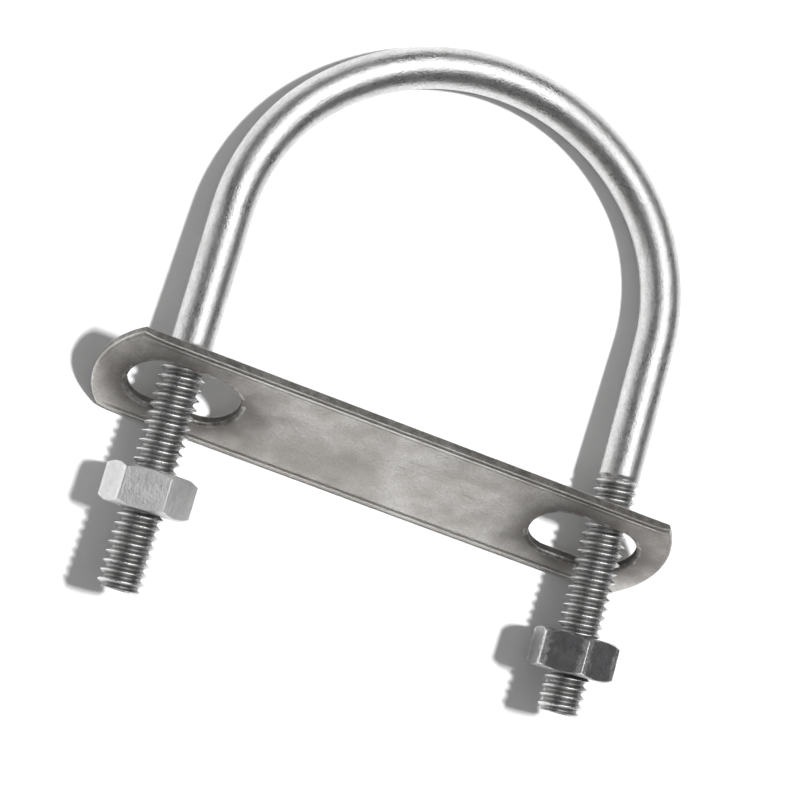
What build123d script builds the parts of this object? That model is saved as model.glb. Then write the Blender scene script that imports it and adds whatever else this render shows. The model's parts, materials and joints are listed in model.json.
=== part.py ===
from build123d import *
from math import asin, atan2, cos, degrees, hypot, radians, sin, tan
import os

os.makedirs("parts", exist_ok=True)

# U-bolt, all in millimetres
rod_diameter = 5.75
thread_diameter = 6.30  # 1/4-20 UNC over the crests
thread_length = 34.2
leg_spacing = 63.5  # centre to centre, where the bow begins
leg_splay = 0.75  # degrees that each leg stands outwards
leg_length = 52.7  # from a leg's end to where the bow begins
bow_height = 28.6  # from where the bow begins to the rod's centre at the top
shoulder_radius = 27.0  # of the rod's centreline
leg_end_chamfer = 0.7

# Clamp plate
plate_length = 78.8  # along its straight long edges
plate_width = 16.5
plate_thickness = 1.4
plate_end_rise = 3.25  # how far each rounded end stands past the long edges
plate_edge_radius = 0.35  # rolled over by the press, on the side of the nuts
slot_length = 15.9
slot_width = 9.1
slot_spacing = 60.5  # centre to centre
plate_from_bow = 26.7  # from where the bow begins to the middle of the plate
plate_shift = -1.1  # off the middle of the U-bolt
plate_lean = 37.5  # degrees, its upper edge leans over towards the bow
plate_turn = -3.6  # degrees, off square to the U-bolt

# Hex nuts
nut_across_flats = 10.9
nut_height = 5.56
nut_bore_diameter = thread_diameter + 0.12
nut_face_inset = 0.2  # the chamfer starts this far inside the flats
nut_chamfer_angle = 30.0
nut_mouth_chamfer = 0.35
left_nut_from_end = 13.7  # from the leg's end to the nut's middle
right_nut_from_end = 8.4
left_nut_turn = 19.0  # degrees, which way one flat faces, from straight up towards the left
right_nut_turn = 36.0

# The bow is three arcs: a shoulder on each leg and a flatter crown between them
half_spacing = leg_spacing / 2
splay = radians(leg_splay)
shoulder_x = half_spacing - shoulder_radius * cos(splay)
shoulder_y = -shoulder_radius * sin(splay)
crown_rise = bow_height - shoulder_y
crown_radius = (shoulder_x**2 + crown_rise**2 - shoulder_radius**2) / (
    2 * (crown_rise - shoulder_radius)
)
crown_angle = degrees(atan2(crown_radius - crown_rise, shoulder_x))

# It lies on a surface at z = 0, on the crown and on a lower corner of the plate, so the plane
# of the U-bolt rises a little towards the ends of the legs
lean = radians(plate_lean)
turn = radians(plate_turn)
corner_drop = plate_width / 2 * cos(lean) + plate_thickness / 2 * sin(lean)
corner_reach = bow_height + plate_from_bow - plate_length / 2 * abs(sin(turn)) + cos(turn) * (
    plate_width / 2 * sin(lean) - plate_thickness / 2 * cos(lean)
)
rod_radius = rod_diameter / 2
lie = atan2(corner_drop, corner_reach) - asin(rod_radius / hypot(corner_drop, corner_reach))

# Plane of the rod's centreline: x across the legs, y towards the bow, origin where the bow begins.
# The part's own origin is on the surface, under the middle of its overall box.
crown_end = bow_height * cos(lie) + rod_radius
legs_end = leg_length * cos(splay) * cos(lie) + (thread_diameter / 2 - leg_end_chamfer) * sin(lie)
bolt_plane = Plane(
    origin=(-plate_shift, (legs_end - crown_end) / 2, rod_radius + bow_height * sin(lie)),
    x_dir=(1, 0, 0),
    z_dir=(0, sin(lie), cos(lie)),
)


def leg_plane(side, from_end):
    """Plane square to a leg, facing the bow; side is -1 for the left leg and 1 for the right."""
    from_bow = leg_length - from_end
    across = side * (half_spacing + from_bow * sin(splay))
    return Plane(
        origin=bolt_plane.from_local_coords((across, -from_bow * cos(splay), 0)),
        x_dir=bolt_plane.x_dir * cos(splay) + bolt_plane.y_dir * side * sin(splay),
        z_dir=bolt_plane.y_dir * cos(splay) - bolt_plane.x_dir * side * sin(splay),
    )


# U-bolt: smooth rod bent round the bow, with a threaded end on each leg
with BuildPart() as u_bolt:
    straight = leg_length - thread_length
    straight_x = half_spacing + straight * sin(splay)
    straight_y = -straight * cos(splay)
    shoulder_sweep = crown_angle - leg_splay
    with BuildLine(bolt_plane):
        Line((-straight_x, straight_y), (-half_spacing, 0))
        CenterArc((-shoulder_x, shoulder_y), shoulder_radius, 180 - leg_splay, -shoulder_sweep)
        CenterArc(
            (0, bow_height - crown_radius), crown_radius, 180 - crown_angle, 2 * crown_angle - 180
        )
        CenterArc((shoulder_x, shoulder_y), shoulder_radius, crown_angle, -shoulder_sweep)
        Line((half_spacing, 0), (straight_x, straight_y))
    with BuildSketch(leg_plane(-1, thread_length)):
        Circle(rod_radius)
    sweep()
    for side in (-1, 1):
        with BuildSketch(leg_plane(side, 0)):
            Circle(thread_diameter / 2)
        extrude(amount=thread_length)
        leg_end = leg_plane(side, 0)
        end_edges = u_bolt.edges().group_by(Axis(leg_end.origin, leg_end.z_dir))[0]
        chamfer(end_edges, length=leg_end_chamfer)
u_bolt.part.label = "u_bolt"
export_step(u_bolt.part, "parts/u_bolt.step")

# Clamp plate: x along the plate, y across it and upwards, z towards the nuts
turned_plane = Plane(
    origin=bolt_plane.from_local_coords((plate_shift, -plate_from_bow, 0)),
    x_dir=bolt_plane.x_dir.rotate(Axis((0, 0, 0), bolt_plane.z_dir), plate_turn),
    z_dir=bolt_plane.z_dir,
)
plate_plane = Plane(
    origin=turned_plane.origin,
    x_dir=turned_plane.x_dir,
    z_dir=turned_plane.z_dir * sin(lean) - turned_plane.y_dir * cos(lean),
)
with BuildPart() as clamp_plate:
    with BuildSketch(plate_plane.offset(-plate_thickness / 2)):
        with BuildLine():
            half_length = plate_length / 2
            half_width = plate_width / 2
            Line((-half_length, half_width), (half_length, half_width))
            SagittaArc((half_length, half_width), (half_length, -half_width), plate_end_rise)
            Line((half_length, -half_width), (-half_length, -half_width))
            SagittaArc((-half_length, -half_width), (-half_length, half_width), plate_end_rise)
        make_face()
        with GridLocations(slot_spacing, 0, 2, 1):
            SlotOverall(slot_length, slot_width, mode=Mode.SUBTRACT)
    extrude(amount=plate_thickness)
    near_face = clamp_plate.faces().sort_by(Axis(plate_plane.origin, plate_plane.z_dir))[-1]
    fillet(near_face.edges().filter_by(GeomType.CIRCLE), radius=plate_edge_radius)
clamp_plate.part.label = "clamp_plate"
export_step(clamp_plate.part, "parts/clamp_plate.step")


def nut_plane(side, from_end, turn):
    """Plane at a nut's middle, square to its leg, with x along the direction one flat faces."""
    leg = leg_plane(side, from_end)
    return Plane(
        origin=leg.origin,
        x_dir=bolt_plane.z_dir * cos(radians(turn)) - leg.x_dir * sin(radians(turn)),
        z_dir=leg.z_dir,
    )


# Hex nuts: a hexagonal prism turned down to a cone at both ends, with a clear bore
nut_corner_radius = nut_across_flats / 2 / cos(radians(30))
nut_face_radius = nut_across_flats / 2 - nut_face_inset
nut_cone_height = (nut_corner_radius - nut_face_radius) * tan(radians(nut_chamfer_angle))
for name, side, from_end, turn in (
    ("left_nut", -1, left_nut_from_end, left_nut_turn),
    ("right_nut", 1, right_nut_from_end, right_nut_turn),
):
    middle = nut_plane(side, from_end, turn)
    with BuildPart() as nut:
        with BuildSketch(middle):
            RegularPolygon(nut_across_flats / 2, 6, major_radius=False, rotation=30)
        extrude(amount=nut_height / 2, both=True)
        with BuildSketch(Plane(origin=middle.origin, x_dir=middle.x_dir, z_dir=-middle.y_dir)):
            half_height = nut_height / 2
            with BuildLine():
                Polyline(
                    (0, -half_height),
                    (nut_face_radius, -half_height),
                    (nut_corner_radius, nut_cone_height - half_height),
                    (nut_corner_radius, half_height - nut_cone_height),
                    (nut_face_radius, half_height),
                    (0, half_height),
                    close=True,
                )
            make_face()
        revolve(axis=Axis(middle.origin, middle.z_dir), mode=Mode.INTERSECT)
        with BuildSketch(middle):
            Circle(nut_bore_diameter / 2)
        extrude(amount=nut_height / 2, both=True, mode=Mode.SUBTRACT)
        bore_edges = nut.edges().filter_by(GeomType.CIRCLE).filter_by(
            lambda edge: abs(edge.radius - nut_bore_diameter / 2) < 0.01
        )
        chamfer(bore_edges, length=nut_mouth_chamfer)
    nut.part.label = name
    export_step(nut.part, f"parts/{name}.step")
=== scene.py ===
import json
import math
from math import radians

import bmesh
import bpy
from mathutils import Matrix, Vector
from mathutils.geometry import tessellate_polygon


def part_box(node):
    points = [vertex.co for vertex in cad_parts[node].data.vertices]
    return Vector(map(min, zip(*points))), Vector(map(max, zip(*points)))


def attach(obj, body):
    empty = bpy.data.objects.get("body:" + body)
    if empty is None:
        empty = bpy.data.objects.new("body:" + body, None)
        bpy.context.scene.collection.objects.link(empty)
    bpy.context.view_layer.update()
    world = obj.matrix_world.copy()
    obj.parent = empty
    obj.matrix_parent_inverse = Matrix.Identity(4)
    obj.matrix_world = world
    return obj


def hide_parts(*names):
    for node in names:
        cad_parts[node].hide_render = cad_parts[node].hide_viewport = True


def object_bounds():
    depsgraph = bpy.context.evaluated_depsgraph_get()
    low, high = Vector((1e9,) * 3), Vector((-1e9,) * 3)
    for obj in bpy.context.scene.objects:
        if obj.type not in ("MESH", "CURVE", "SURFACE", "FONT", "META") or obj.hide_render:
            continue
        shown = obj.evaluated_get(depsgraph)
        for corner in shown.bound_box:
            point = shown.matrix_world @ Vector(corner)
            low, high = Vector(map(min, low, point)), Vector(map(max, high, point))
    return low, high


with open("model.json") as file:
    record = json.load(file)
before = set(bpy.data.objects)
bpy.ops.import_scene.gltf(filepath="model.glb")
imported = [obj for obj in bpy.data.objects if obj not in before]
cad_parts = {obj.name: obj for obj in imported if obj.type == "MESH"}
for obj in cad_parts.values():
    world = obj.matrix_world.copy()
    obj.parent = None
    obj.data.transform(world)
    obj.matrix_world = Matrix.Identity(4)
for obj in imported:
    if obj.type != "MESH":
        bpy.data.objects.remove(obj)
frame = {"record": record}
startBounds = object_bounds()
mm = 0.001

# Bent rod with a thread on each leg
boltSizes = {
    "rodRadius": 2.875 * mm,
    "crestRadius": 3.15 * mm,
    "threadDepth": 0.70 * mm,
    "pitch": 1.27 * mm,
    "threadLength": 34.2 * mm,
    "runOut": 1.6 * mm,  # where the thread fades into the plain rod
    "endRadius": 2.45 * mm,  # the flat at each leg's end, inside its chamfer
    "legSpacing": 63.5 * mm,
    "legSplay": radians(0.75),
    "legLength": 52.7 * mm,
    "bowHeight": 28.6 * mm,
    "shoulderRadius": 27.0 * mm,
    "ringSides": 72,
    "arcStep": radians(1.5),
    "straightSteps": 18,
    "wearAndHighlightDepth": 0.12,  # crests are painted bright down to this share of the thread's depth: worn metal and a painted highlight
    "paintedShadeDepths": (0.3, 0.95),  # painted shade darkens the thread flanks between these shares
}
# One turn of the thread: how far along the pitch, and how deep as a share of the full depth
threadProfile = [
    (0.00, 0.00), (0.05, 0.015), (0.085, 0.09), (0.15, 0.30), (0.22, 0.53), (0.29, 0.76),
    (0.355, 0.93), (0.42, 0.99), (0.50, 1.00), (0.58, 0.99), (0.645, 0.93), (0.71, 0.76),
    (0.78, 0.53), (0.85, 0.30), (0.915, 0.09), (0.95, 0.015),
]

joints = {joint["name"]: joint for joint in frame["record"]["behaviour"]["joints"]}


def boxMiddle(node):
    low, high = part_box(node)
    return (Vector(low) + Vector(high)) / 2


def frameFrom(xAxis, yAxis, zAxis, origin):
    turned = Matrix((xAxis, yAxis, zAxis)).transposed().to_4x4()
    turned.translation = origin
    return turned


def makeBoltFrame(sizes):
    # x across the legs, y towards the bow, z up, from the middle of where the bow begins
    low, high = (Vector(corner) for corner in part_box("u_bolt"))
    rodRadius = sizes["rodRadius"]
    towardsBow = Vector(joints["plate_slide"]["axis"]).normalized()
    across = Vector((1, 0, 0))
    crownMiddle = Vector(((low.x + high.x) / 2, high.y - rodRadius, low.z + rodRadius))
    origin = crownMiddle - towardsBow * sizes["bowHeight"]
    return frameFrom(across, towardsBow, across.cross(towardsBow), origin)


boltFrame = makeBoltFrame(boltSizes)
print("bolt frame ready")

mergeDistance = 0.0005 * mm
sharpAngle = radians(32)


def finishMesh(bm, name, body, node, material):
    bmesh.ops.remove_doubles(bm, verts=bm.verts, dist=mergeDistance)
    bmesh.ops.recalc_face_normals(bm, faces=bm.faces)
    mesh = bpy.data.meshes.new(name)
    bm.to_mesh(mesh)
    bm.free()
    mesh.shade_smooth()
    mesh.set_sharp_from_angle(angle=sharpAngle)
    mesh.materials.append(material)
    piece = bpy.data.objects.new(name, mesh)
    bpy.context.collection.objects.link(piece)
    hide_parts(node)
    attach(piece, body)


def newLayers(bm):
    return {
        "place": bm.verts.layers.float_vector.new("place"),  # the point on the straight, flat blank
        "wearAndPaintedLight": bm.verts.layers.float.new("wearAndPaintedLight"),  # how proud it stands: worn metal with a painted highlight goes here
        "shadeMask": bm.verts.layers.float.new("shadeMask"),  # painted shade goes here: thread flanks, edge walls and dark lines inside the edges
    }


def addVert(bm, layers, position, place, wearAndPaintedLight=0.0, shadeMask=0.0):
    vert = bm.verts.new(position)
    vert[layers["place"]] = place
    vert[layers["wearAndPaintedLight"]] = wearAndPaintedLight
    vert[layers["shadeMask"]] = shadeMask
    return vert


def bridgeRows(bm, first, second):
    count = len(first)
    for j in range(count):
        k = (j + 1) % count
        bm.faces.new((first[j], first[k], second[k], second[j]))


def bridgeAll(bm, rows):
    for first, second in zip(rows, rows[1:]):
        bridgeRows(bm, first, second)


def smoothStep(low, high, value):
    share = min(1.0, max(0.0, (value - low) / (high - low)))
    return share * share * (3 - 2 * share)


def threadDepthAt(phase):
    # Share of the full depth, at a phase from 0 to 1 along one turn
    phase %= 1.0
    points = threadProfile + [(1.0, 0.0)]
    for (lowPhase, lowDepth), (highPhase, highDepth) in zip(points, points[1:]):
        if phase <= highPhase:
            share = (phase - lowPhase) / (highPhase - lowPhase)
            return lowDepth + share * (highDepth - lowDepth)
    return 0.0


def bridgeHelix(bm, first, second):
    # Open where one turn meets the next
    for j in range(len(first) - 1):
        bm.faces.new((first[j], first[j + 1], second[j + 1], second[j]))


def closeHelixSeam(bm, rows, rowsPerTurn):
    # The last point of a row meets the first point of the row one turn on
    last = len(rows) - 1
    for i in range(last):
        j = min(i + rowsPerTurn, last)
        k = min(i + 1 + rowsPerTurn, last)
        corners = [rows[i][-1], rows[j][0], rows[k][0], rows[i + 1][-1]]
        if j == k:
            del corners[2]
        bm.faces.new(corners)


def addThreadedLeg(bm, layers, sizes, side, totalLength):
    # Right-hand thread. Its rows lie along the helix and are cut square at both ends
    sides = sizes["ringSides"]
    pitch = sizes["pitch"]
    splay = sizes["legSplay"]
    top = sizes["threadLength"]
    towardsBow = Vector((-side * math.sin(splay), math.cos(splay), 0))
    up = Vector((0, 0, 1))
    sideways = towardsBow.cross(up)
    endPoint = Vector((side * (sizes["legSpacing"] / 2 + sizes["legLength"] * math.sin(splay)),
                       -sizes["legLength"] * math.cos(splay), 0))
    turns = math.ceil(top / pitch) + 1
    rows = []
    for turnNumber in range(-1, turns):
        for phase, _ in threadProfile:
            row = []
            for j in range(sides):
                share = j / sides
                along = min(top, max(0.0, pitch * (turnNumber + phase + share)))
                depth = threadDepthAt(along / pitch - share)
                fade = 1 - smoothStep(top - sizes["runOut"], top, along)
                radius = sizes["crestRadius"] - sizes["threadDepth"] * depth
                radius = sizes["rodRadius"] + (radius - sizes["rodRadius"]) * fade
                radius = min(radius, sizes["endRadius"] + along)  # the chamfer, at 45 degrees
                angle = 2 * math.pi * share
                offset = (up * math.cos(angle) + sideways * math.sin(angle)) * radius
                fromLeft = along if side < 0 else totalLength - along
                place = (radius * math.cos(angle), -side * radius * math.sin(angle), fromLeft)
                # Crests: worn metal and a painted highlight
                wearAndPaintedLight = fade * (1 - smoothStep(0.0, sizes["wearAndHighlightDepth"], depth))
                # Flanks towards the roots: painted shade
                shadeMask = fade * smoothStep(*sizes["paintedShadeDepths"], depth)
                point = boltFrame @ (endPoint + towardsBow * along + offset)
                row.append(addVert(bm, layers, point, place, wearAndPaintedLight, shadeMask))
            rows.append(row)
    for first, second in zip(rows, rows[1:]):
        bridgeHelix(bm, first, second)
    closeHelixSeam(bm, rows, len(threadProfile))
    bm.faces.new(rows[0][::-1])


def bowCentreLine(sizes):
    # Points and directions from one thread's start, round the bow, to the other's
    half = sizes["legSpacing"] / 2
    splay = sizes["legSplay"]
    shoulder = sizes["shoulderRadius"]
    straight = sizes["legLength"] - sizes["threadLength"]
    shoulderX = half - shoulder * math.cos(splay)
    shoulderY = -shoulder * math.sin(splay)
    rise = sizes["bowHeight"] - shoulderY
    crown = (shoulderX ** 2 + rise ** 2 - shoulder ** 2) / (2 * (rise - shoulder))  # crown arc's radius
    meeting = math.atan2(crown - rise, shoulderX)
    line = []
    steps = sizes["straightSteps"]
    for i in range(steps):
        back = straight * (1 - i / steps)
        line.append((Vector((-half - back * math.sin(splay), -back * math.cos(splay), 0)),
                     Vector((math.sin(splay), math.cos(splay), 0))))

    def addArc(centre, radius, first, last, closed):
        count = math.ceil(abs(last - first) / sizes["arcStep"])
        for i in range(count + (1 if closed else 0)):
            angle = first + (last - first) * i / count
            line.append((Vector(centre) + Vector((math.cos(angle), math.sin(angle), 0)) * radius,
                         Vector((math.sin(angle), -math.cos(angle), 0))))

    addArc((-shoulderX, shoulderY, 0), shoulder, math.pi - splay, math.pi - meeting, False)
    addArc((0, sizes["bowHeight"] - crown, 0), crown, math.pi - meeting, meeting, False)
    addArc((shoulderX, shoulderY, 0), shoulder, meeting, splay, True)
    for i in range(1, steps + 1):
        back = straight * i / steps
        line.append((Vector((half + back * math.sin(splay), -back * math.cos(splay), 0)),
                     Vector((math.sin(splay), -math.cos(splay), 0))))
    return line


def makeUBolt(sizes, material):
    bm = bmesh.new()
    layers = newLayers(bm)
    rodRadius = sizes["rodRadius"]
    line = bowCentreLine(sizes)
    lengths = [sizes["threadLength"]]
    for (before, _), (after, _) in zip(line, line[1:]):
        lengths.append(lengths[-1] + (after - before).length)
    totalLength = lengths[-1] + sizes["threadLength"]
    up = Vector((0, 0, 1))
    rows = []
    for (point, direction), along in zip(line, lengths):
        sideways = direction.cross(up)
        row = []
        for j in range(sizes["ringSides"]):
            angle = 2 * math.pi * j / sizes["ringSides"]
            offset = (up * math.cos(angle) + sideways * math.sin(angle)) * rodRadius
            place = (rodRadius * math.cos(angle), rodRadius * math.sin(angle), along)
            row.append(addVert(bm, layers, boltFrame @ (point + offset), place))
        rows.append(row)
    bridgeAll(bm, rows)
    for side in (-1, 1):
        addThreadedLeg(bm, layers, sizes, side, totalLength)
    finishMesh(bm, "uBolt", "bolt", "u_bolt", material)


# Flat strip with two slots, leaning on the legs
plateSizes = {
    "length": 78.8 * mm,
    "width": 16.5 * mm,
    "thickness": 1.4 * mm,
    "endRise": 3.25 * mm,
    "slotLength": 15.9 * mm,
    "slotWidth": 9.1 * mm,
    "slotSpacing": 60.5 * mm,
    "lean": radians(37.5),
    "turn": radians(-3.6),
    "rolledEdge": 0.35 * mm,  # round the slots and the ends
    "shearedEdge": 0.10 * mm,  # along the long edges
    "slotRoll": 0.62 * mm,  # how far the rolled edge of a slot reaches over the face
    "lipHeight": 0.08 * mm,
    "lipFade": (0.4 * mm, 2.2 * mm),  # the lips die out this far from the corners
    "dishDepth": 0.22 * mm,  # the ends dip towards their rims
    "dishReach": 2.35 * mm,
    "dishFade": (-1.0 * mm, 4.0 * mm),
    "slotDishDepth": 0.13 * mm,  # the face is drawn down round the slots too
    "slotDishReach": 2.0 * mm,
    "slotDishSteps": (1.0, 0.9, 0.75, 0.6, 0.45, 0.36),  # shares of that reach
    "burrRadius": 0.06 * mm,
    "farInset": 0.5 * mm,
    "slotFarInset": 0.4 * mm,
    "arcPoints": 40,
    "longSteps": 60,
    "rollSteps": 7,
    "burrSteps": 3,
    "wallShares": (0.08, 0.36, 0.42, 0.90),
}
# Rings from the face out to the edge: inset in mm along the long edges, inset in mm round the ends,
# share of the lip's height, worn metal with a painted highlight, painted shade (dark lines inside the edge)
lipRings = (
    (1.5, 2.35, 0, 0, 0), (1.42, 1.95, 0, 0, 0), (1.33, 1.6, 0, 0, 0), (1.22, 1.3, 0, 0, 0),
    (1.08, 1.08, 0, 0, 0.5), (0.85, 0.85, 0.35, 0, 0.6), (0.66, 0.66, 0.9, 0.8, 0),
    (0.5, 0.5, 1.0, 0.8, 0), (0.37, 0.37, 0.6, 0, 0.8),
)


def arcPoints(centre, radius, first, last, count):
    return [Vector((centre[0] + radius * math.cos(first + (last - first) * i / count),
                    centre[1] + radius * math.sin(first + (last - first) * i / count)))
            for i in range(count + 1)]


def plateOutline(sizes):
    # Counter-clockwise points of the outer edge, each with 1 where the edge is a sheared long one
    halfLength, halfWidth, rise = sizes["length"] / 2, sizes["width"] / 2, sizes["endRise"]
    radius = (halfWidth ** 2 + rise ** 2) / (2 * rise)
    spread = math.asin(halfWidth / radius)
    centreX = halfLength + rise - radius
    longSteps = sizes["longSteps"]
    points = []
    for end, middle in ((1, 0.0), (-1, math.pi)):
        for point in arcPoints((end * centreX, 0), radius, middle - spread, middle + spread,
                               sizes["arcPoints"]):
            points.append((point, 0.0))
        for i in range(1, longSteps):
            share = i / longSteps
            points.append((Vector((end * (halfLength - sizes["length"] * share), end * halfWidth)), 1.0))
    return points


def insetLoop(points, distances):
    # Moves every point inwards, square to its two edges
    moved = []
    count = len(points)
    for i, point in enumerate(points):
        before = (point - points[i - 1]).normalized()
        after = (points[(i + 1) % count] - point).normalized()
        normalBefore = Vector((-before.y, before.x))
        normalAfter = Vector((-after.y, after.x))
        middle = normalBefore + normalAfter
        middle *= 2 / middle.length_squared
        moved.append(point + middle * distances[i])
    return moved


def slotLoop(sizes, middleX, growth):
    # Clockwise points round one slot, grown by so much
    radius = sizes["slotWidth"] / 2 + growth
    reach = (sizes["slotLength"] - sizes["slotWidth"]) / 2
    count = sizes["arcPoints"] // 2
    points = arcPoints((middleX + reach, 0), radius, math.pi / 2, -math.pi / 2, count)
    points += arcPoints((middleX - reach, 0), radius, -math.pi / 2, -3 * math.pi / 2, count)
    return points


def edgeRows(sizes, reach, drop):
    # Over the rolled edge, down the wall and round the burr: inset, height, worn metal with a painted
    # highlight, painted shade (darker walls), dish share
    half = sizes["thickness"] / 2
    burr = sizes["burrRadius"]
    wall = sizes["thickness"] - drop - burr
    rows = []
    for i in range(sizes["rollSteps"] + 1):
        angle = math.pi / 2 * i / sizes["rollSteps"]
        rows.append((reach * (1 - math.sin(angle)), half - drop * (1 - math.cos(angle)), 0.45, 0.15, 1.0))
    for share in sizes["wallShares"]:
        rows.append((0.0, half - drop - wall * share, 0.0, 0.9, 1.0 - share))
    for i in range(sizes["burrSteps"] + 1):
        angle = math.pi / 2 * i / sizes["burrSteps"]
        rows.append((burr * (1 - math.cos(angle)), burr - half - burr * math.sin(angle), 0.8, 0.0, 0.0))
    return rows


def makePlateFrame(sizes):
    turning = Matrix.Rotation(sizes["turn"], 3, Vector(boltFrame.col[2][:3]))
    across = Vector(boltFrame.col[0][:3])
    towardsBow = Vector(boltFrame.col[1][:3])
    up = Vector(boltFrame.col[2][:3])
    along = turning @ across
    behind = turning @ towardsBow
    facing = up * math.sin(sizes["lean"]) - behind * math.cos(sizes["lean"])
    return frameFrom(along, facing.cross(along), facing, boxMiddle("clamp_plate"))


def addPlateRow(bm, layers, plateFrame, loop, heights, wearAndPaintedLight, shadeMask, shares=None):
    row = []
    for point, height, share in zip(loop, heights, shares or [1] * len(loop)):
        position = plateFrame @ Vector((point.x, point.y, height))
        place = (point.y, height, point.x)
        row.append(addVert(bm, layers, position, place, wearAndPaintedLight * share, shadeMask * share))
    return row


def addPlateRim(bm, layers, plateFrame, sizes):
    # The outer edge, from the near face round to the far one: its rows and their loops
    outline = plateOutline(sizes)
    points = [point for point, _ in outline]
    longEdge = [flag for _, flag in outline]
    fromCorner = [sizes["length"] / 2 - abs(point.x) for point in points]
    lipShare = [flag * smoothStep(*sizes["lipFade"], gap) for flag, gap in zip(longEdge, fromCorner)]
    dishShare = [1 - smoothStep(*sizes["dishFade"], gap) * flag
                 for flag, gap in zip(longEdge, fromCorner)]
    half = sizes["thickness"] / 2
    rows = []
    loops = []

    def addRing(insets, heights, wearAndPaintedLight, shadeMask, shares=None):
        loops.append(insetLoop(points, insets))
        rows.append(addPlateRow(bm, layers, plateFrame, loops[-1], heights, wearAndPaintedLight, shadeMask, shares))

    for longInset, endInset, lift, wearAndPaintedLight, shadeMask in lipRings:
        insets = [(longInset + (endInset - longInset) * end) * mm for end in dishShare]
        heights = [half + sizes["lipHeight"] * lift * edge
                   - sizes["dishDepth"] * (1 - inset / sizes["dishReach"]) ** 2 * end
                   for edge, inset, end in zip(lipShare, insets, dishShare)]
        addRing(insets, heights, wearAndPaintedLight, shadeMask, lipShare)
    rolledRows = edgeRows(sizes, sizes["rolledEdge"], sizes["rolledEdge"])
    shearedRows = edgeRows(sizes, sizes["shearedEdge"], sizes["shearedEdge"])
    for rolled, sheared in zip(rolledRows, shearedRows):
        insets = [rolled[0] + (sheared[0] - rolled[0]) * flag for flag in longEdge]
        heights = [rolled[1] + (sheared[1] - rolled[1]) * flag - sizes["dishDepth"] * rolled[4] * end
                   for flag, end in zip(longEdge, dishShare)]
        addRing(insets, heights, rolled[2], rolled[3])
    addRing([sizes["farInset"]] * len(points), [-half] * len(points), 0, 0)
    bridgeAll(bm, rows)
    return rows, loops


def slotSection(sizes):
    # From the face, over the rolled rim and through the plate: growth, height, worn metal with a painted
    # highlight, painted shade
    half = sizes["thickness"] / 2
    depth, reach = sizes["slotDishDepth"], sizes["slotDishReach"]
    rimDrop = depth * (1 - sizes["slotRoll"] / reach) ** 2
    section = [(share * reach, half - depth * (1 - share) ** 2, 0, 0) for share in sizes["slotDishSteps"]]
    section += [(growth, height - rimDrop * share, wearAndPaintedLight, shadeMask)
                for growth, height, wearAndPaintedLight, shadeMask, share
                in edgeRows(sizes, sizes["slotRoll"], sizes["rolledEdge"])]
    section.append((sizes["slotFarInset"], -half, 0, 0))
    return section


def addSlot(bm, layers, plateFrame, sizes, middleX):
    section = slotSection(sizes)
    loops = [slotLoop(sizes, middleX, growth) for growth, _, _, _ in section]
    rows = [addPlateRow(bm, layers, plateFrame, loop, [height] * len(loop), wearAndPaintedLight, shadeMask)
            for loop, (_, height, wearAndPaintedLight, shadeMask) in zip(loops, section)]
    bridgeAll(bm, rows)
    return rows, loops


def makePlate(sizes, material):
    plateFrame = makePlateFrame(sizes)
    bm = bmesh.new()
    layers = newLayers(bm)
    borders = [addPlateRim(bm, layers, plateFrame, sizes)]
    for middleX in (-sizes["slotSpacing"] / 2, sizes["slotSpacing"] / 2):
        borders.append(addSlot(bm, layers, plateFrame, sizes, middleX))
    for side in (0, -1):  # the near face, then the far one, with the slots left open
        verts = [vert for rows, _ in borders for vert in rows[side]]
        flat = [[point.to_3d() for point in loops[side]] for _, loops in borders]
        for corners in tessellate_polygon(flat):
            bm.faces.new([verts[i] for i in corners])
    finishMesh(bm, "clampPlate", "plate", "clamp_plate", material)


# Plain hexagon nuts, chamfered at both ends
nutSizes = {
    "acrossFlats": 10.9 * mm,
    "height": 5.56 * mm,
    "boreRadius": 3.21 * mm,
    "faceInset": 0.2 * mm,
    "chamferAngle": radians(30),
    "mouthChamfer": 0.35 * mm,
    "mouthLand": 0.5 * mm,
    "cornerRadius": 0.22 * mm,
    "rimSoftness": 0.05 * mm,
    "cornerWearAndHighlight": 0.8,
    "cornerWearAndHighlightFrom": (5.60 * mm, 6.1 * mm),  # distances from the axis; the corners beyond get worn metal with a painted highlight
    "leftTurn": radians(19.0),
    "rightTurn": radians(36.0),
}
# Points round a nut, as degrees to either side of each corner
cornerOffsets = (0, 0.5, 1, 1.5, 2, 2.5, 3, 4, 6, 9, 13, 18, 24)


def hexRadius(sizes, angle):
    # Distance to a hexagon with slightly rounded corners; a flat faces angle 0
    apothem = sizes["acrossFlats"] / 2
    corner = sizes["cornerRadius"]
    offCorner = (angle % (math.pi / 3)) - math.pi / 6
    cornerDistance = (apothem - corner) / math.cos(math.pi / 6)
    inside = corner ** 2 - (cornerDistance * math.sin(offCorner)) ** 2
    if inside > 0:
        reach = cornerDistance * math.cos(offCorner) + math.sqrt(inside)
        turned = math.atan2(reach * math.sin(abs(offCorner)),
                            reach * math.cos(offCorner) - cornerDistance)
        if turned < math.pi / 6:
            return reach
    return apothem / math.cos(math.pi / 6 - abs(offCorner))


def nutAngles():
    angles = []
    for corner in range(6):
        middle = radians(30 + 60 * corner)
        angles += [middle - radians(step) for step in reversed(cornerOffsets)]
        angles += [middle + radians(step) for step in cornerOffsets[1:]]
        angles.append(middle + radians(30))
    return angles


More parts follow.
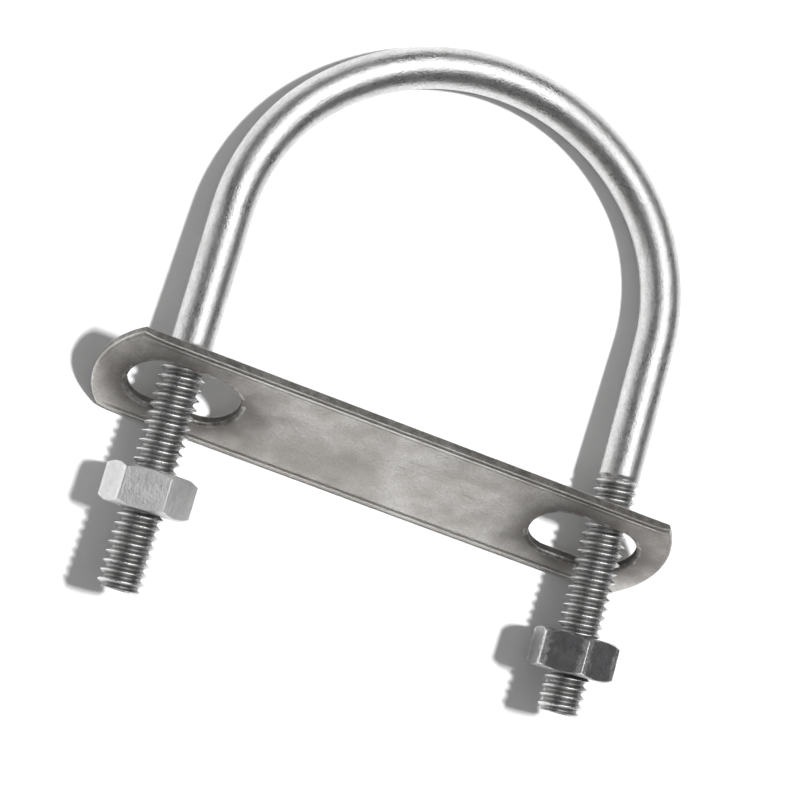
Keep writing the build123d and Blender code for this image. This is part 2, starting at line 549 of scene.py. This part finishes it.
def nutSection(sizes, outer):
    # One end's outline at a place where the hexagon is that far out: radius, height, worn metal with a
    # painted highlight (bright lines at the mouth and chamfer rims)
    half = sizes["height"] / 2
    slope = math.tan(sizes["chamferAngle"])
    faceRadius = sizes["acrossFlats"] / 2 - sizes["faceInset"]
    soften = sizes["rimSoftness"]
    bore = sizes["boreRadius"]
    mouth = bore + sizes["mouthChamfer"]
    cone = half - (outer - faceRadius) * slope
    return [
        (bore, half - sizes["mouthChamfer"], 0.2),
        (mouth, half, 0.7),
        (mouth + sizes["mouthLand"], half, 0.0),
        (faceRadius - 3 * soften, half, 0.0),
        (faceRadius, half - 0.1 * soften, 0.7),
        (outer - (outer - faceRadius) * 0.25, half - (outer - faceRadius) * 0.75 * slope, 0.3),
        (outer, cone, 0.6),
        (outer, cone - 3 * soften, 0.0),
    ]


def makeNut(sizes, name, node, side, turn, material):
    splay = boltSizes["legSplay"]
    rotation = boltFrame.to_3x3()
    axis = rotation @ Vector((-side * math.sin(splay), math.cos(splay), 0))
    up = rotation @ Vector((0, 0, 1))
    flatFacing = up * math.cos(turn) + up.cross(axis) * math.sin(turn)
    nutFrame = frameFrom(flatFacing, axis.cross(flatFacing), axis, boxMiddle(node))

    bm = bmesh.new()
    layers = newLayers(bm)
    angles = nutAngles()
    sections = [nutSection(sizes, hexRadius(sizes, angle)) for angle in angles]
    steps = range(len(sections[0]))
    rows = []
    for end, order in ((-1, steps), (1, reversed(steps))):
        for step in order:
            row = []
            for angle, section in zip(angles, sections):
                radius, height, wearAndPaintedLight = section[step]
                spot = Vector((radius * math.cos(angle), radius * math.sin(angle), end * height))
                # The corners are painted bright: worn metal and a painted highlight
                cornerWearAndHighlight = smoothStep(*sizes["cornerWearAndHighlightFrom"], radius) * sizes["cornerWearAndHighlight"]
                row.append(addVert(bm, layers, nutFrame @ spot, spot, max(wearAndPaintedLight, cornerWearAndHighlight)))
            rows.append(row)
    bridgeAll(bm, rows + rows[:1])  # the last ring meets the first inside the bore
    finishMesh(bm, name, node, node, material)


def addNode(tree, kind, inputs=None, **settings):
    node = tree.nodes.new(kind)
    for name, value in settings.items():
        setattr(node, name, value)
    for name, value in (inputs or {}).items():
        if isinstance(value, bpy.types.NodeSocket):
            tree.links.new(value, node.inputs[name])
        else:
            node.inputs[name].default_value = value
    return node


def addMath(tree, operation, *values, clamp=False):
    node = addNode(tree, "ShaderNodeMath", dict(enumerate(values)), operation=operation, use_clamp=clamp)
    return node.outputs[0]


def addRamp(tree, value, low, high, first=0.0, last=1.0, curve="LINEAR"):
    # Maps low to high onto first to last, held at both ends
    node = addNode(tree, "ShaderNodeMapRange", {"Value": value, "From Min": low, "From Max": high,
                                                "To Min": first, "To Max": last},
                   interpolation_type=curve)
    return node.outputs["Result"]


def addNoise(tree, place, scale, detail=2.0, roughness=0.5, distortion=0.0):
    node = addNode(tree, "ShaderNodeTexNoise", {"Vector": place, "Scale": scale, "Detail": detail,
                                                "Roughness": roughness, "Distortion": distortion})
    return node.outputs["Fac"]


def addMix(tree, share, first, second):
    node = addNode(tree, "ShaderNodeMix", {0: share, 6: first, 7: second}, data_type="RGBA")
    return node.outputs[2]


def newGroup(name, inputs, outputs):
    tree = bpy.data.node_groups.new(name, "ShaderNodeTree")
    tree.interface.new_socket("Place", in_out="INPUT", socket_type="NodeSocketVector")
    for label, value in inputs:
        socket = tree.interface.new_socket(label, in_out="INPUT", socket_type="NodeSocketFloat")
        socket.default_value = value
    for label in outputs:
        tree.interface.new_socket(label, in_out="OUTPUT", socket_type="NodeSocketFloat")
    entry = tree.nodes.new("NodeGroupInput")
    leave = tree.nodes.new("NodeGroupOutput")
    return tree, entry.outputs, leave.inputs


def makeGrainGroup():
    # Fine streaks drawn out along the blank's z, as drawing or rolling leaves them
    tree, given, put = newGroup("metalGrain", [("Fineness", 3000.0), ("Stretch", 30.0)],
                                ["Streaks", "Scratches"])
    alongScale = addMath(tree, "DIVIDE", given["Fineness"], given["Stretch"])
    scale = addNode(tree, "ShaderNodeCombineXYZ", {"X": given["Fineness"], "Y": given["Fineness"],
                                                   "Z": alongScale}).outputs[0]
    stretched = addNode(tree, "ShaderNodeVectorMath", {0: given["Place"], 1: scale},
                        operation="MULTIPLY").outputs[0]
    fine = addNoise(tree, stretched, 1.0, detail=5.0, roughness=0.62)
    coarse = addNoise(tree, stretched, 0.27, detail=3.0)
    sparse = addNoise(tree, stretched, 0.8, roughness=0.75, distortion=0.4)
    streaks = addMath(tree, "MULTIPLY_ADD", fine, 0.65, addMath(tree, "MULTIPLY", coarse, 0.35))
    tree.links.new(streaks, put["Streaks"])
    tree.links.new(addRamp(tree, sparse, 0.62, 0.72), put["Scratches"])
    return tree


def makeMottleGroup():
    # Cloudy patches and small pits, the same in every direction
    tree, given, put = newGroup(
        "metalMottle", [("Patch Scale", 300.0), ("Pit Scale", 2500.0), ("Pit Amount", 0.5)],
        ["Patches", "Pits", "Ripple", "Clouds"])
    place = given["Place"]
    patches = addNoise(tree, place, given["Patch Scale"], detail=6.0, roughness=0.6, distortion=0.1)
    tree.links.new(addRamp(tree, patches, 0.3, 0.7), put["Patches"])
    cells = addNode(tree, "ShaderNodeTexVoronoi", {"Vector": place, "Scale": given["Pit Scale"]},
                    feature="F1")
    size = addRamp(tree, cells.outputs["Distance"], 0.0, 0.34, 1.0, 0.0)
    chance = addNode(tree, "ShaderNodeSeparateColor", {0: cells.outputs["Color"]}).outputs[0]
    chosen = addMath(tree, "GREATER_THAN", chance, addMath(tree, "SUBTRACT", 1.0, given["Pit Amount"]))
    tree.links.new(addMath(tree, "MULTIPLY", size, chosen), put["Pits"])
    tree.links.new(addNoise(tree, place, 420.0, roughness=0.4), put["Ripple"])
    clouds = addNoise(tree, place, 75.0, distortion=0.1)
    tree.links.new(addRamp(tree, clouds, 0.32, 0.68), put["Clouds"])
    return tree


def makeWearAndPaintedLightGroup():
    # Breaks the edges marked on the mesh into patches of worn metal with a painted highlight, and the
    # marked recesses and walls into patches of painted shade
    tree, given, put = newGroup("edgeWearAndPaintedLight", [("Edge", 0.0), ("Shade Mask", 0.0), ("Scale", 900.0)],
                                ["Rubbed", "Painted Shade"])
    noise = addNoise(tree, given["Place"], given["Scale"], detail=4.0, roughness=0.6)
    broken = addMath(tree, "ADD", given["Edge"], addRamp(tree, noise, 0.3, 0.7, -0.35, 0.35))
    tree.links.new(addRamp(tree, broken, 0.35, 0.85), put["Rubbed"])
    patchy = addRamp(tree, noise, 0.25, 0.6, 0.55, 1.0)
    tree.links.new(addMath(tree, "MULTIPLY", given["Shade Mask"], patchy), put["Painted Shade"])
    return tree


# Painted shade round the slots
slotShadeSqueeze = 0.62  # the rings are longer than they are wide
slotShadeRaggedness = 6 * mm


def makeHaloGroup():
    # Painted shade: dark rings round the two slots, where the face is dished in towards them
    tree, given, put = newGroup("pressHalo", [("Spacing", 0.06), ("Inner", 0.006), ("Outer", 0.012)],
                                ["Halo"])
    parts = addNode(tree, "ShaderNodeSeparateXYZ", {0: given["Place"]}).outputs
    half = addMath(tree, "MULTIPLY", given["Spacing"], 0.5)
    along = addMath(tree, "SUBTRACT", addMath(tree, "ABSOLUTE", parts["Z"]), half)
    squeezed = addMath(tree, "MULTIPLY", along, slotShadeSqueeze)
    flat = addNode(tree, "ShaderNodeCombineXYZ", {"X": parts["X"], "Y": squeezed}).outputs[0]
    distance = addNode(tree, "ShaderNodeVectorMath", {0: flat}, operation="LENGTH").outputs["Value"]
    noise = addNoise(tree, given["Place"], 190.0, detail=4.0, roughness=0.6)
    ragged = addMath(tree, "MULTIPLY_ADD", noise, slotShadeRaggedness, distance)
    slotShade = addRamp(tree, ragged, given["Inner"], given["Outer"], 1.0, 0.0, "SMOOTHSTEP")
    tree.links.new(slotShade, put["Halo"])
    return tree


grainGroup = makeGrainGroup()
mottleGroup = makeMottleGroup()
wearAndPaintedLightGroup = makeWearAndPaintedLightGroup()
slotShadeGroup = makeHaloGroup()
print("node groups ready")


def readAttribute(tree, name, output):
    return addNode(tree, "ShaderNodeAttribute", attribute_name=name).outputs[output]


def useGroup(tree, group, inputs):
    place = readAttribute(tree, "place", "Vector")
    return addNode(tree, "ShaderNodeGroup", {"Place": place, **inputs}, node_tree=group).outputs


# The same for every steel
grainTint = (0.38, 0.62)  # streaks turn from dark to light between these
grainRough = (0.3, 0.7)
# Roughness where the painted shade lies, and where worn metal with a painted highlight lies
paintedShadeRoughness = 0.15
wearAndHighlightRoughness = -0.08


def makeSteel(name, look):
    material = bpy.data.materials.new(name)
    material.use_nodes = True
    tree = material.node_tree
    tree.nodes.clear()
    grain = useGroup(tree, grainGroup, {"Fineness": look["grainFineness"], "Stretch": look["grainStretch"]})
    mottle = useGroup(tree, mottleGroup, {"Patch Scale": look["patchScale"],
                                          "Pit Scale": look["pitScale"], "Pit Amount": look["pitAmount"]})
    wearAndPaintedLight = useGroup(tree, wearAndPaintedLightGroup, {"Edge": readAttribute(tree, "wearAndPaintedLight", "Fac"),
                                      "Shade Mask": readAttribute(tree, "shadeMask", "Fac"),
                                      "Scale": look["wearAndPaintedLightScale"]})
    streaks = grain["Streaks"]
    patches = mottle["Patches"]
    clouds = mottle["Clouds"]

    # Each layer of colour: where it lies, how strong it is and its tint. The slot rings and the recess
    # layer are painted shade; the edge layer is worn metal with a painted highlight
    coats = [(patches, "stainAmount", "stain"), (clouds, "cloudAmount", "stain"),
             (mottle["Pits"], "pitDarkness", "pit"), (wearAndPaintedLight["Painted Shade"], "paintedShadeAmount", "paintedShadeTint"),
             (wearAndPaintedLight["Rubbed"], "wearAndHighlightAmount", "wearAndHighlightTint")]
    # Painted shade round the plate's slots
    if "slotShadeSpacing" in look:
        slotShade = useGroup(tree, slotShadeGroup, {"Spacing": look["slotShadeSpacing"], "Inner": look["slotShadeInner"],
                                          "Outer": look["slotShadeOuter"]})
        coats.insert(2, (slotShade["Halo"], "slotShadeAmount", "slotShade"))
    colour = addMix(tree, addRamp(tree, streaks, *grainTint), look["dark"], look["light"])
    for mask, amount, tint in coats:
        colour = addMix(tree, addMath(tree, "MULTIPLY", mask, look[amount]), colour, look[tint])

    roughness = addRamp(tree, streaks, *grainRough, look["roughLow"], look["roughHigh"])
    roughness = addMath(tree, "MULTIPLY_ADD", patches, look["patchRoughness"], roughness)
    roughness = addMath(tree, "MULTIPLY_ADD", clouds, look["cloudRoughness"], roughness)
    roughness = addMath(tree, "MULTIPLY_ADD", wearAndPaintedLight["Painted Shade"], paintedShadeRoughness, roughness)
    roughness = addMath(tree, "MULTIPLY_ADD", wearAndPaintedLight["Rubbed"], wearAndHighlightRoughness, roughness, clamp=True)

    height = addMath(tree, "MULTIPLY", streaks, look["grainDepth"])
    height = addMath(tree, "MULTIPLY_ADD", mottle["Pits"], -look["pitDepth"], height)
    height = addMath(tree, "MULTIPLY_ADD", mottle["Ripple"], look["rippleDepth"], height)
    height = addMath(tree, "MULTIPLY_ADD", clouds, look["cloudDepth"], height)
    height = addMath(tree, "MULTIPLY_ADD", grain["Scratches"], -look["scratchDepth"], height)
    bump = addNode(tree, "ShaderNodeBump", {"Height": height, "Strength": 1.0, "Distance": 1.0})
    shader = addNode(tree, "ShaderNodeBsdfPrincipled", {
        "Base Color": colour, "Metallic": 1.0, "Roughness": roughness, "Normal": bump.outputs[0]})
    leave = tree.nodes.new("ShaderNodeOutputMaterial")
    tree.links.new(shader.outputs[0], leave.inputs[0])
    return material


# In each look the recess tint is painted shade, the edge tint is worn metal with a painted highlight, and
# the plate's slot-ring tint is painted shade
rodLook = {
    "light": (0.82, 0.82, 0.82, 1), "dark": (0.54, 0.54, 0.54, 1), "stain": (0.48, 0.475, 0.465, 1),
    "pit": (0.16, 0.16, 0.155, 1), "paintedShadeTint": (0.045, 0.042, 0.038, 1), "wearAndHighlightTint": (0.94, 0.94, 0.93, 1),
    "stainAmount": 0.25, "cloudAmount": 0.15, "pitDarkness": 0.6, "paintedShadeAmount": 0.62,
    "wearAndHighlightAmount": 0.5,
    "grainFineness": 3800.0, "grainStretch": 2.0, "patchScale": 260.0, "pitScale": 2600.0,
    "pitAmount": 0.12, "wearAndPaintedLightScale": 800.0,
    "roughLow": 0.18, "roughHigh": 0.31, "patchRoughness": 0.07, "cloudRoughness": 0.06,
    "grainDepth": 0.075 * mm, "pitDepth": 0.02 * mm, "rippleDepth": 0.012 * mm,
    "cloudDepth": 0.01 * mm, "scratchDepth": 0.01 * mm,
}
plateLook = {
    "light": (0.90, 0.885, 0.86, 1), "dark": (0.64, 0.62, 0.595, 1), "stain": (0.40, 0.37, 0.34, 1),
    "pit": (0.20, 0.18, 0.16, 1), "paintedShadeTint": (0.055, 0.05, 0.045, 1), "wearAndHighlightTint": (0.90, 0.89, 0.87, 1),
    "slotShade": (0.20, 0.185, 0.175, 1),
    "stainAmount": 0.34, "cloudAmount": 0.5, "slotShadeAmount": 0.85, "pitDarkness": 0.45,
    "paintedShadeAmount": 0.8, "wearAndHighlightAmount": 0.6,
    "slotShadeSpacing": plateSizes["slotSpacing"], "slotShadeInner": 7.5 * mm, "slotShadeOuter": 13.5 * mm,
    "grainFineness": 3000.0, "grainStretch": 1.4, "patchScale": 300.0, "pitScale": 2400.0,
    "pitAmount": 0.2, "wearAndPaintedLightScale": 900.0,
    "roughLow": 0.30, "roughHigh": 0.42, "patchRoughness": 0.06, "cloudRoughness": 0.10,
    "grainDepth": 0.08 * mm, "pitDepth": 0.012 * mm, "rippleDepth": 0.02 * mm,
    "cloudDepth": 0.2 * mm, "scratchDepth": 0.008 * mm,
}
nutLook = {
    "light": (0.86, 0.86, 0.86, 1), "dark": (0.66, 0.66, 0.66, 1), "stain": (0.52, 0.515, 0.51, 1),
    "pit": (0.20, 0.195, 0.19, 1), "paintedShadeTint": (0.10, 0.10, 0.10, 1), "wearAndHighlightTint": (0.95, 0.95, 0.94, 1),
    "stainAmount": 0.35, "cloudAmount": 0.2, "pitDarkness": 0.45, "paintedShadeAmount": 0.6,
    "wearAndHighlightAmount": 0.25,
    "grainFineness": 3600.0, "grainStretch": 1.5, "patchScale": 420.0, "pitScale": 2600.0,
    "pitAmount": 0.2, "wearAndPaintedLightScale": 900.0,
    "roughLow": 0.36, "roughHigh": 0.48, "patchRoughness": 0.06, "cloudRoughness": 0.05,
    "grainDepth": 0.09 * mm, "pitDepth": 0.015 * mm, "rippleDepth": 0.02 * mm,
    "cloudDepth": 0.03 * mm, "scratchDepth": 0.003 * mm,
}
# Painted shade: the right nut gets a darker copy of the nut steel, for how the light falls on it
shadedNutLook = dict(nutLook, light=(0.36, 0.355, 0.37, 1), dark=(0.25, 0.245, 0.255, 1),
                   stain=(0.20, 0.195, 0.20, 1), roughLow=0.22, roughHigh=0.34, wearAndHighlightAmount=0.75)

rodSteel = makeSteel("rodSteel", rodLook)
plateSteel = makeSteel("plateSteel", plateLook)
nutSteel = makeSteel("nutSteel", nutLook)
shadedNutSteel = makeSteel("shadedNutSteel", shadedNutLook)
print("steels ready")

makeUBolt(boltSizes, rodSteel)
print("bolt ready")
makePlate(plateSizes, plateSteel)
print("plate ready")
makeNut(nutSizes, "leftNut", "left_nut", -1, nutSizes["leftTurn"], nutSteel)
# The right nut takes the darker, painted-shade steel
makeNut(nutSizes, "rightNut", "right_nut", 1, nutSizes["rightTurn"], shadedNutSteel)
print("nuts ready")

floorSetup = {
    "halfWidth": 3.0,
    "gap": 0.02 * mm,  # below the object, so that faces never share a plane
    "pale": (0.88, 0.88, 0.88, 1),
    "dusty": (0.86, 0.86, 0.86, 1),
    "roughness": 0.8,
    "specular": 0.1,
}


def makeFloorMaterial(setup):
    material = bpy.data.materials.new("paleFloor")
    material.use_nodes = True
    tree = material.node_tree
    shader = tree.nodes["Principled BSDF"]
    place = addNode(tree, "ShaderNodeTexCoord").outputs["Object"]
    noise = addNoise(tree, place, 400.0, detail=4.0)
    tree.links.new(addMix(tree, noise, setup["dusty"], setup["pale"]), shader.inputs["Base Color"])
    shader.inputs["Roughness"].default_value = setup["roughness"]
    shader.inputs["Specular IOR Level"].default_value = setup["specular"]
    return material


def makeFloor(setup):
    bm = bmesh.new()
    bm.faces.new([bm.verts.new((x * setup["halfWidth"], y * setup["halfWidth"], 0))
                  for x, y in ((-1, -1), (1, -1), (1, 1), (-1, 1))])
    mesh = bpy.data.meshes.new("floor")
    bm.to_mesh(mesh)
    bm.free()
    mesh.materials.append(makeFloorMaterial(setup))
    floor = bpy.data.objects.new("floor", mesh)
    floor.location.z = startBounds[0].z - setup["gap"]
    bpy.context.collection.objects.link(floor)


makeFloor(floorSetup)

cameraSetup = {
    "aim": (-2.98 * mm, -17.08 * mm),  # on the plane of the U-bolt
    "distance": 433.6 * mm,
    "elevation": radians(71.42),  # above that plane
    "heading": radians(75.78),  # from the bow's direction towards the right
    "roll": radians(-15.68),
    "lens": 146.2,
    "sensor": 36.0,
    "clip": (0.01, 20),
}


def makeCamera(setup):
    elevation, heading = setup["elevation"], setup["heading"]
    direction = Vector((math.cos(elevation) * math.sin(heading),
                        math.cos(elevation) * math.cos(heading),
                        -math.sin(elevation)))
    right = direction.cross(Vector((0, 1, 0))).normalized()
    up = right.cross(direction)
    turn = Matrix.Rotation(setup["roll"], 3, direction)
    right, up = turn @ right, turn @ up
    aim = Vector((*setup["aim"], 0))
    data = bpy.data.cameras.new("camera")
    data.lens = setup["lens"]
    data.sensor_width = setup["sensor"]
    data.clip_start, data.clip_end = setup["clip"]
    camera = bpy.data.objects.new("camera", data)
    camera.matrix_world = boltFrame @ frameFrom(right, up, -direction, aim - direction * setup["distance"])
    bpy.context.collection.objects.link(camera)
    bpy.context.scene.camera = camera
    return camera


camera = makeCamera(cameraSetup)

# Soft panels. Angles are to the right of the camera and above it, power is in watts
lightSetup = {
    "key": {"angle": radians(34), "rise": radians(0), "distance": 1.1, "size": (0.08, 0.11),
            "power": 14.4, "inMetal": False, "onFloor": True},
    "strip": {"angle": radians(30), "rise": radians(14), "distance": 1.1, "size": (0.92, 1.08),
              "power": 6.8, "inMetal": True, "onFloor": False},
    "fill": {"angle": radians(-66), "rise": radians(0), "distance": 1.4, "size": (0.8, 1.2),
             "power": 2.6, "inMetal": True, "onFloor": True},
    "sky": {"angle": radians(12), "rise": radians(4), "distance": 1.1, "size": (1.2, 1.2),
            "power": 2.2, "inMetal": False, "onFloor": True},
}
roomLight = 0.15


def makePanel(name, setup):
    turned = camera.matrix_world.to_3x3()
    right, up, back = turned.col[0], turned.col[1], turned.col[2]
    angle, rise = setup["angle"], setup["rise"]
    towards = (back * math.cos(angle) + right * math.sin(angle)) * math.cos(rise) + up * math.sin(rise)
    sideways = up.cross(towards).normalized()
    middle = (startBounds[0] + startBounds[1]) / 2
    data = bpy.data.lights.new(name, "AREA")
    data.shape = "RECTANGLE"
    data.size, data.size_y = setup["size"]
    data.energy = setup["power"]
    lamp = bpy.data.objects.new(name, data)
    lamp.matrix_world = frameFrom(sideways, towards.cross(sideways), towards,
                                  middle + towards * setup["distance"])
    lamp.visible_glossy = setup["inMetal"]
    lamp.visible_diffuse = setup["onFloor"]
    bpy.context.collection.objects.link(lamp)


for panelName, panelSetup in lightSetup.items():
    makePanel(panelName, panelSetup)

world = bpy.data.worlds.new("room")
world.use_nodes = True
background = world.node_tree.nodes["Background"]
background.inputs["Color"].default_value = (1, 1, 1, 1)
background.inputs["Strength"].default_value = roomLight
bpy.context.scene.world = world
bpy.context.scene.view_settings.view_transform = "Standard"
print("floor, camera and lights ready")
